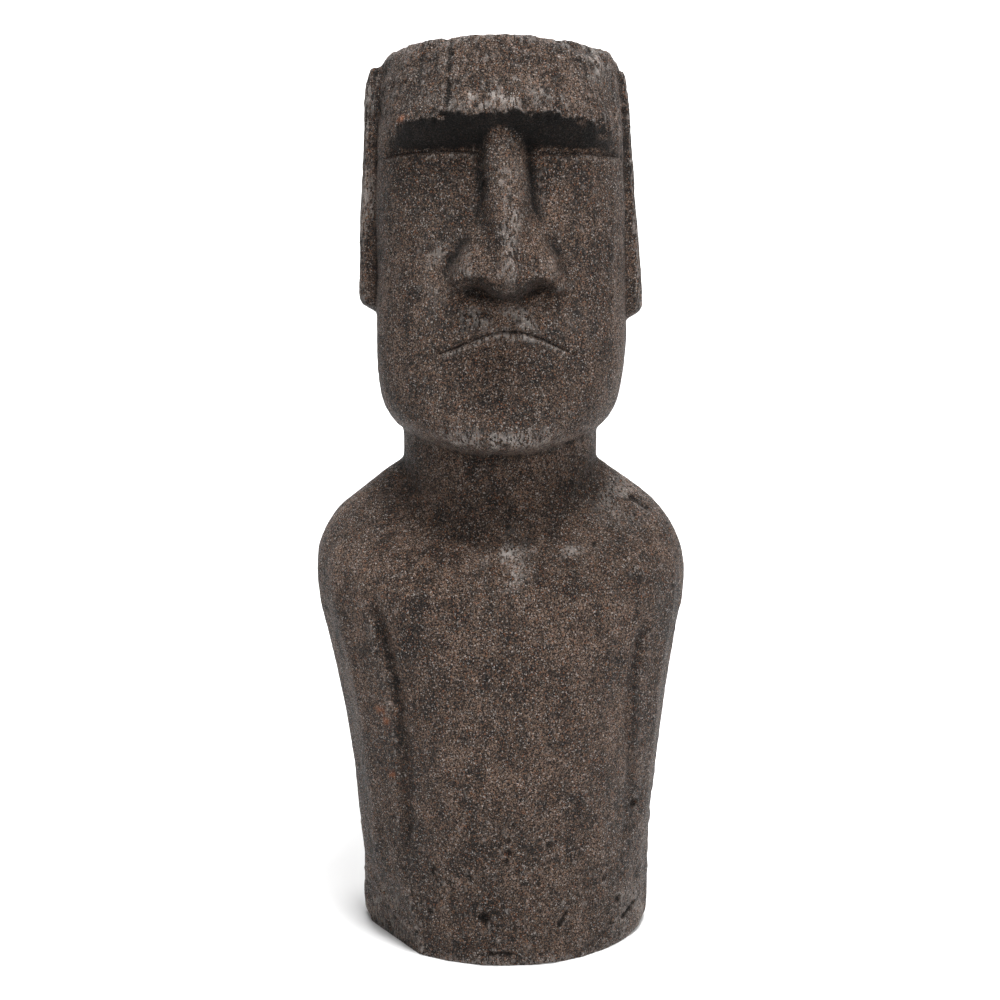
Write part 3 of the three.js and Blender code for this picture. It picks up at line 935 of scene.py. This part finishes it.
@dataclass
class CastBody:
    """The whole figure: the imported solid's skin, rounded, carved and grained."""

    voxel_mm: float = 1.9
    refined_within: float = 4.0
    refined_share: float = 0.3
    faces_wanted: int = 192_000
    ground_mm: float = 1.2
    foot_mm: float = 4.0
    foot_relief: float = 0.3
    rounding: Rounding = field(default_factory=Rounding)
    painted_light_and_wear: PaintedLightAndWear = field(default_factory=PaintedLightAndWear)
    face: FaceCarving = field(default_factory=FaceCarving)
    body: BodyCarving = field(default_factory=BodyCarving)
    grain: Grain = field(default_factory=Grain)
    facets: tuple[Facet, ...] = (
        Facet((-109.5, -53.6, 0.0), (-0.82, -0.565, -0.14), 70.0),
        Facet((111.3, -68.1, 12.0), (0.82, -0.56, -0.10), 70.0),
    )

    def build(self) -> bpy.types.Object:
        """Makes the figure's visible piece.

        Returns:
            The piece, in place.
        """
        mesh = self.fine_mesh()
        skin = Skin(mesh)
        self.rounding.smooth(skin)
        self.refine(skin)
        skin = Skin(mesh)
        relief = Relief(skin)
        self.face.carve(relief)
        self.body.carve(relief)
        self.grain.work(relief)
        self.apply(skin, relief)
        masks = self.painted_light_and_wear.masks(skin, relief.wobble, self.face, self.body, self.facets)
        piece = bpy.data.objects.new("cast_figure", mesh)
        bpy.context.scene.collection.objects.link(piece)
        self.thin(piece)
        self.paint(piece, skin, masks)
        return piece

    def fine_mesh(self) -> bpy.types.Mesh:
        """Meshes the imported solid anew, in even small faces."""
        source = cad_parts[NODE]
        copy = bpy.data.objects.new("fine_copy", source.data.copy())
        bpy.context.scene.collection.objects.link(copy)
        remesh = copy.modifiers.new("even_faces", "REMESH")
        remesh.mode = "VOXEL"
        remesh.voxel_size = self.voxel_mm / MM
        remesh.use_smooth_shade = True
        ready = copy.evaluated_get(bpy.context.evaluated_depsgraph_get())
        mesh = bpy.data.meshes.new_from_object(ready)
        bpy.data.objects.remove(copy)
        return mesh

    def refine(self, skin: Skin) -> None:
        """Halves the faces along the finest carved lines.

        Args:
            skin: The rounded skin, whose mesh gets more points.
        """
        near = np.zeros(skin.count)
        line = Line(self.refined_within, fade=0.1, ragged=0.0)
        for path in self.face.fine_lines:
            near = np.maximum(near, line.drawn(path, skin, near))
        form = bmesh.new()
        form.from_mesh(skin.mesh)
        chosen = near > self.refined_share
        edges = [edge for edge in form.edges if all(chosen[vertex.index] for vertex in edge.verts)]
        bmesh.ops.subdivide_edges(form, edges=edges, cuts=1, use_grid_fill=True)
        form.to_mesh(skin.mesh)
        form.free()

    def apply(self, skin: Skin, relief: Relief) -> None:
        """Moves the skin by the relief, and keeps the underside flat and the solid's box.

        Args:
            skin: The skin to move.
            relief: How far it moves.
        """
        low, high = (np.array(corner) * MM for corner in CAD_BOX)
        ground = (skin.points[:, 2] < self.ground_mm) & (skin.normals[:, 2] < -0.5)
        above = ramp(skin.points[:, 2], 0.0, self.foot_mm)
        for facet in self.facets:
            skin.points += facet.cut(skin.points)
        kept = self.foot_relief + (1.0 - self.foot_relief) * above
        skin.points += skin.normals * (relief.move * kept)[:, None]
        skin.points[ground, 2] = 0.0
        skin.points = np.clip(skin.points, low, high)
        skin.write()

    def thin(self, piece: bpy.types.Object) -> None:
        """Joins faces where the skin is nearly flat, down to the number wanted, inside the solid's box.

        Args:
            piece: The piece to thin.
        """
        faces = 2 * len(piece.data.polygons)
        fewer = piece.modifiers.new("fewer_faces", "DECIMATE")
        fewer.ratio = min(1.0, self.faces_wanted / faces)
        ready = piece.evaluated_get(bpy.context.evaluated_depsgraph_get())
        thinned = bpy.data.meshes.new_from_object(ready)
        piece.modifiers.clear()
        piece.data = thinned
        flat = np.empty(len(thinned.vertices) * 3, np.float32)
        thinned.vertices.foreach_get("co", flat)
        inside = np.clip(flat.reshape(-1, 3), *(np.array(corner, np.float32) for corner in CAD_BOX))
        thinned.vertices.foreach_set("co", inside.ravel())
        thinned.name = "cast_figure"
        thinned.shade_smooth()

    def paint(self, piece: bpy.types.Object, skin: Skin, masks: dict[Mask, Array]) -> None:
        """Stores the masks on the piece's points, each from the nearest point of the fine skin.

        Args:
            piece: The thinned piece.
            skin: The fine skin.
            masks: The masks on the fine skin.
        """
        tree = KDTree(skin.count)
        for index, point in enumerate(skin.points / MM):
            tree.insert(point, index)
        tree.balance()
        nearest = np.array([tree.find(vertex.co)[1] for vertex in piece.data.vertices])
        for mask, values in masks.items():
            layer = piece.data.attributes.new(mask.value, "FLOAT", "POINT")
            layer.data.foreach_set("value", values[nearest].astype(np.float32))


@dataclass(frozen=True)
class Coat:
    """One colour over those below it, where a pattern lies beyond a level."""

    colour: str
    pattern: Pattern
    start: float
    end: float
    strength: float
    mask: Mask | None = None


@dataclass(frozen=True)
class StainedCastStone:
    """Magnesia cement with stone grit, cast in a rubber mould, coloured nearly black with a stain and waxed.

    The stain fills the cement between the grains and the grains keep their own browns and greys,
    so the eye sees a dark ground with lighter specks of about a millimetre. Iron in the sand
    shows as rusty specks. Hollows, creases and undersides are darkened with painted shade, and ridges
    and edges are lightened pale grey with painted sheen and highlights, partly as wear.
    """

    stain: str = "#241c18"
    coats: tuple[Coat, ...] = (
        Coat("#8a7466", Pattern.UNEVEN, 0.42, 0.58, 1.0),  # bare cement, where the stain is thin
        Coat("#35322f", Pattern.CLOUD, 0.48, 0.62, 0.45),  # a cooler second stain in large clouds
        Coat("#98745a", Pattern.BROWN, 0.60, 0.80, 0.55),  # brown stone grit
        Coat("#d2cac4", Pattern.GREY, 0.85, 0.92, 0.58),  # grey stone grit
        # Stain in the pores, and painted shade there too: they are the low places of the raised grit.
        Coat("#060403", Pattern.PORE, 0.49, 0.44, 0.92),  # stain that fills pores
        Coat("#060403", Pattern.BLACK, 0.30, 0.24, 0.86),  # stain that covers some of the grit
        # Painted shade in the gaps between the raised crumbs.
        Coat("#060403", Pattern.SEAM, 0.10, 0.02, 0.70),  # stain between the crumbs
        Coat("#a5633c", Pattern.BLACK, 0.965, 0.98, 0.40),  # iron in the sand
        # Edges lightened pale: wear, and painted sheen on them.
        Coat("#c9c0ba", Pattern.FLAKE, 0.44, 0.58, 0.30, Mask.WORN_AND_SHEEN),  # edges rubbed bare
        # Painted highlights and sheen, and corners worn pale.
        Coat("#d2cac3", Pattern.FLAKE, 0.44, 0.53, 0.72, Mask.PALE),  # places rubbed pale
        Coat("#b5693c", Pattern.PORE, 0.30, 0.50, 0.70, Mask.RUST),  # rust round larger grains of iron
    )
    cloud_mm: float = 70.0
    unevenness: tuple[Span, ...] = ((90.0, 0.7), (24.0, 0.9), (8.0, 0.5), (2.6, 0.5))
    streak_mm: Span = (11.0, 80.0)
    streak_weight: float = 0.7
    flake_mm: Span = (2.2, 7.0)
    # Real grit and pores go down to a few tenths of a millimetre, too fine to show from where the
    # camera stands, so they are drawn about a pixel wide.
    grit_mm: float = 0.95
    pore_mm: float = 1.1
    crumb_mm: float = 3.2
    wander_mm: float = 3.0
    warp_mm: float = 1.4
    raised_mm: float = 2.0
    raised: tuple[tuple[Pattern, float], ...] = (
        (Pattern.SEAM, 1.5), (Pattern.GRIT, -0.7), (Pattern.PORE, 1.6), (Pattern.FLAKE, 0.5),
    )
    # How much of the colour is kept where the painted shade is full.
    kept_shaded: float = 0.08
    # How much of the colour is kept in hollows, darkened as painted shade too.
    kept_hollow: float = 0.35
    # The wax is thin and broken by the grit, so less light mirrors off it than off smooth wax.
    specular_level: float = 0.22
    ior: float = 1.5
    pore_levels: Span = (0.35, 0.65)
    roughness: Span = (0.72, 0.46)

    def material(self) -> bpy.types.Material:
        """Makes the material.

        Returns:
            The material for the whole figure.
        """
        material = bpy.data.materials.new("stained_cast_stone")
        material.use_nodes = True
        tree = material.node_tree
        tree.nodes.clear()
        place = add(tree, "TexCoord").outputs["Object"]
        patterns = self.patterns(tree, place)
        (deep, level), (dull, shiny) = self.pore_levels, self.roughness
        roughness = add(tree, "MapRange", {0: patterns[Pattern.PORE], 1: deep, 2: level, 3: dull, 4: shiny})
        shader = add(tree, "BsdfPrincipled", {
            "Base Color": self.colour(tree, patterns),
            "Roughness": roughness.outputs[0],
            "IOR": self.ior,
            "Specular IOR Level": self.specular_level,
            "Normal": self.raised_grit(tree, patterns),
        })
        add(tree, "OutputMaterial", {"Surface": shader.outputs[0]})
        return material

    def patterns(self, tree: Tree, place: Socket) -> dict[Pattern, Socket]:
        """Draws the patterns that the coats and the raised grit follow.

        Args:
            tree: The material's nodes.
            place: The place on the figure.

        Returns:
            Each pattern's output.
        """
        inputs = {"Vector": place, "Scale": MM / self.wander_mm, "Detail": 2.0}
        wander = add(tree, "TexNoise", inputs).outputs["Color"]
        inputs = {0: self.warp_mm / MM, 6: place, 7: wander}
        warped = add(tree, "Mix", inputs, data_type="RGBA", blend_type="ADD").outputs[2]
        grit = add(tree, "TexVoronoi", {"Vector": warped, "Scale": MM / self.grit_mm})
        inputs = {"Vector": warped, "Scale": MM / self.crumb_mm}
        crumb = add(tree, "TexVoronoi", inputs, feature="DISTANCE_TO_EDGE")
        brown, grey, black = add(tree, "SeparateColor", {0: grit.outputs["Color"]}).outputs
        cloud = add(tree, "TexNoise", {"Vector": place, "Scale": MM / self.cloud_mm, "Detail": 4.0})
        long_spots = []
        for across, upright in (self.streak_mm, self.flake_mm):
            scaled = add(tree, "Mapping", {"Vector": place, "Scale": (1.0, 1.0, across / upright)})
            inputs = {"Vector": scaled.outputs[0], "Scale": MM / across, "Detail": 3.0, "Roughness": 0.6}
            long_spots.append(add(tree, "TexNoise", inputs).outputs["Fac"])
        streak, flake = long_spots
        inputs = {"Vector": place, "Scale": MM / self.pore_mm, "Detail": 2.0, "Roughness": 0.7}
        pore = add(tree, "TexNoise", inputs)
        inputs = {0: streak, 1: self.streak_weight}
        uneven = add(tree, "Math", inputs, operation="MULTIPLY").outputs[0]
        total = self.streak_weight
        for size, weight in self.unevenness:
            inputs = {"Vector": place, "Scale": MM / size, "Detail": 3.0, "Roughness": 0.6}
            layer = add(tree, "TexNoise", inputs).outputs["Fac"]
            inputs = {0: layer, 1: weight, 2: uneven}
            uneven = add(tree, "Math", inputs, operation="MULTIPLY_ADD").outputs[0]
            total += weight
        uneven = add(tree, "Math", {0: uneven, 1: total}, operation="DIVIDE").outputs[0]
        return {
            Pattern.UNEVEN: uneven, Pattern.CLOUD: cloud.outputs["Fac"],
            Pattern.BROWN: brown, Pattern.GREY: grey, Pattern.BLACK: black,
            Pattern.PORE: pore.outputs["Fac"], Pattern.FLAKE: flake,
            Pattern.GRIT: grit.outputs["Distance"], Pattern.SEAM: crumb.outputs["Distance"],
        }

    def colour(self, tree: Tree, patterns: dict[Pattern, Socket]) -> Socket:
        """Lays the coats over the stain and darkens the colour with painted shade.

        Args:
            tree: The material's nodes.
            patterns: Each pattern's output.

        Returns:
            The colour's output.
        """
        painted = {mask: add(tree, "Attribute", attribute_name=mask.value).outputs["Fac"] for mask in Mask}
        colour = linear(self.stain)
        for coat in self.coats:
            inputs = {0: patterns[coat.pattern], 1: coat.start, 2: coat.end, 3: 0.0, 4: coat.strength}
            share = add(tree, "MapRange", inputs, interpolation_type="SMOOTHSTEP").outputs[0]
            if coat.mask is not None:
                inputs = {0: share, 1: painted[coat.mask]}
                share = add(tree, "Math", inputs, operation="MULTIPLY").outputs[0]
            inputs = {0: share, 6: colour, 7: linear(coat.colour)}
            colour = add(tree, "Mix", inputs, data_type="RGBA").outputs[2]
        # Painted shade: the colour is darkened by the shade mask and in hollows.
        for mask, kept in ((Mask.PAINTED_SHADE, self.kept_shaded), (Mask.HOLLOW, self.kept_hollow)):
            left = add(tree, "MapRange", {0: painted[mask], 1: 0.0, 2: 1.0, 3: 1.0, 4: kept}).outputs[0]
            colour = add(tree, "VectorMath", {0: colour, "Scale": left}, operation="SCALE").outputs[0]
        return colour

    def raised_grit(self, tree: Tree, patterns: dict[Pattern, Socket]) -> Socket:
        """Raises the grit and the crumbs of cement, which are too small for the mesh.

        Args:
            tree: The material's nodes.
            patterns: Each pattern's output.

        Returns:
            The normal's output.
        """
        height = patterns[Pattern.UNEVEN]
        for pattern, weight in self.raised:
            inputs = {0: patterns[pattern], 1: weight, 2: height}
            height = add(tree, "Math", inputs, operation="MULTIPLY_ADD").outputs[0]
        inputs = {"Strength": 1.0, "Distance": self.raised_mm / MM, "Height": height}
        return add(tree, "Bump", inputs).outputs[0]


@dataclass(frozen=True)
class Softbox:
    """A square studio light that faces a point."""

    name: str
    place: tuple[float, float, float]
    target: tuple[float, float, float]
    size: float
    watts: float

    def build(self) -> None:
        """Hangs the light."""
        light = bpy.data.lights.new(self.name, "AREA")
        light.size = self.size
        light.energy = self.watts
        holder = bpy.data.objects.new(self.name, light)
        holder.location = self.place
        aim = Vector(self.target) - Vector(self.place)
        holder.rotation_euler = aim.to_track_quat("-Z", "Y").to_euler()
        bpy.context.scene.collection.objects.link(holder)


@dataclass(frozen=True)
class Studio:
    """A pale paper sweep, soft light from above and beside the camera, and the camera."""

    sweep_half_width: float = 9.0
    sweep_front: float = -9.0
    sweep_bend: float = 3.0
    sweep_radius: float = 1.5
    sweep_height: float = 6.0
    sweep_steps: int = 15
    paper_colour: str = "#f2f2f2"
    paper_roughness: float = 0.9
    room_colour: str = "#ffffff"
    room_strength: float = 0.16
    lights: tuple[Softbox, ...] = (
        Softbox("top_light", (0.4, -0.9, 3.4), (0.0, 0.0, 0.5), 0.8, 130.0),
        Softbox("front_light", (0.9, -2.5, 1.6), (0.0, 0.0, 0.5), 1.0, 41.0),
        Softbox("paper_light", (0.0, 1.6, 4.2), (0.0, 4.5, 1.6), 2.5, 330.0),
    )
    eye: tuple[float, float, float] = (-0.005, -1.220, 0.5097)
    tilt_down: float = 5.267
    lens_mm: float = 46.865
    sensor_mm: float = 36.0

    def build(self) -> None:
        """Builds the paper, the lights, the room's light and the camera."""
        self.paper()
        for light in self.lights:
            light.build()
        self.room()
        self.camera()
        bpy.context.scene.view_settings.view_transform = "Standard"

    def paper(self) -> None:
        """Lays the paper: a floor that bends up into a wall far behind the figure."""
        turns = [math.radians(90.0 * step / self.sweep_steps) for step in range(self.sweep_steps + 1)]
        radius = self.sweep_radius
        bend = [
            (self.sweep_bend + radius * math.sin(turn), radius * (1.0 - math.cos(turn))) for turn in turns
        ]
        profile = [(self.sweep_front, 0.0), *bend, (bend[-1][0], self.sweep_height)]
        sides = (-self.sweep_half_width, self.sweep_half_width)
        corners = [(x, y, z) for y, z in profile for x in sides]
        faces = [(i, i + 1, i + 3, i + 2) for i in range(0, len(corners) - 2, 2)]
        mesh = bpy.data.meshes.new("studio_paper")
        mesh.from_pydata(corners, [], faces)
        mesh.shade_smooth()
        sweep = bpy.data.objects.new("studio_paper", mesh)
        bpy.context.scene.collection.objects.link(sweep)
        paper = bpy.data.materials.new("pale_paper")
        paper.use_nodes = True
        shader = paper.node_tree.nodes["Principled BSDF"]
        shader.inputs["Base Color"].default_value = linear(self.paper_colour)
        shader.inputs["Roughness"].default_value = self.paper_roughness
        mesh.materials.append(paper)

    def room(self) -> None:
        """Lights the room evenly."""
        world = bpy.data.worlds.new("soft_room")
        world.use_nodes = True
        background = world.node_tree.nodes["Background"]
        background.inputs["Color"].default_value = linear(self.room_colour)
        background.inputs["Strength"].default_value = self.room_strength
        bpy.context.scene.world = world

    def camera(self) -> None:
        """Stands the camera where the picture was taken from."""
        lens = bpy.data.cameras.new("camera")
        lens.lens = self.lens_mm
        lens.sensor_width = self.sensor_mm
        lens.clip_start = 0.01
        camera = bpy.data.objects.new("camera", lens)
        camera.location = self.eye
        camera.rotation_euler = (math.radians(90.0 - self.tilt_down), 0.0, 0.0)
        bpy.context.scene.collection.objects.link(camera)
        bpy.context.scene.camera = camera


def main() -> None:
    """Builds the figure and the studio."""
    logging.basicConfig(level=logging.INFO, format="%(name)s: %(message)s")
    figure = CastBody().build()
    figure.data.materials.clear()
    figure.data.materials.append(StainedCastStone().material())
    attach(figure, BODY)
    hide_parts(NODE)
    LOG.info("%s: %d faces", figure.name, len(figure.data.polygons))
    studio = Studio()
    studio.build()
    LOG.info("studio: paper, camera and %d lights", len(studio.lights))


if __name__ == "__main__":
    main()
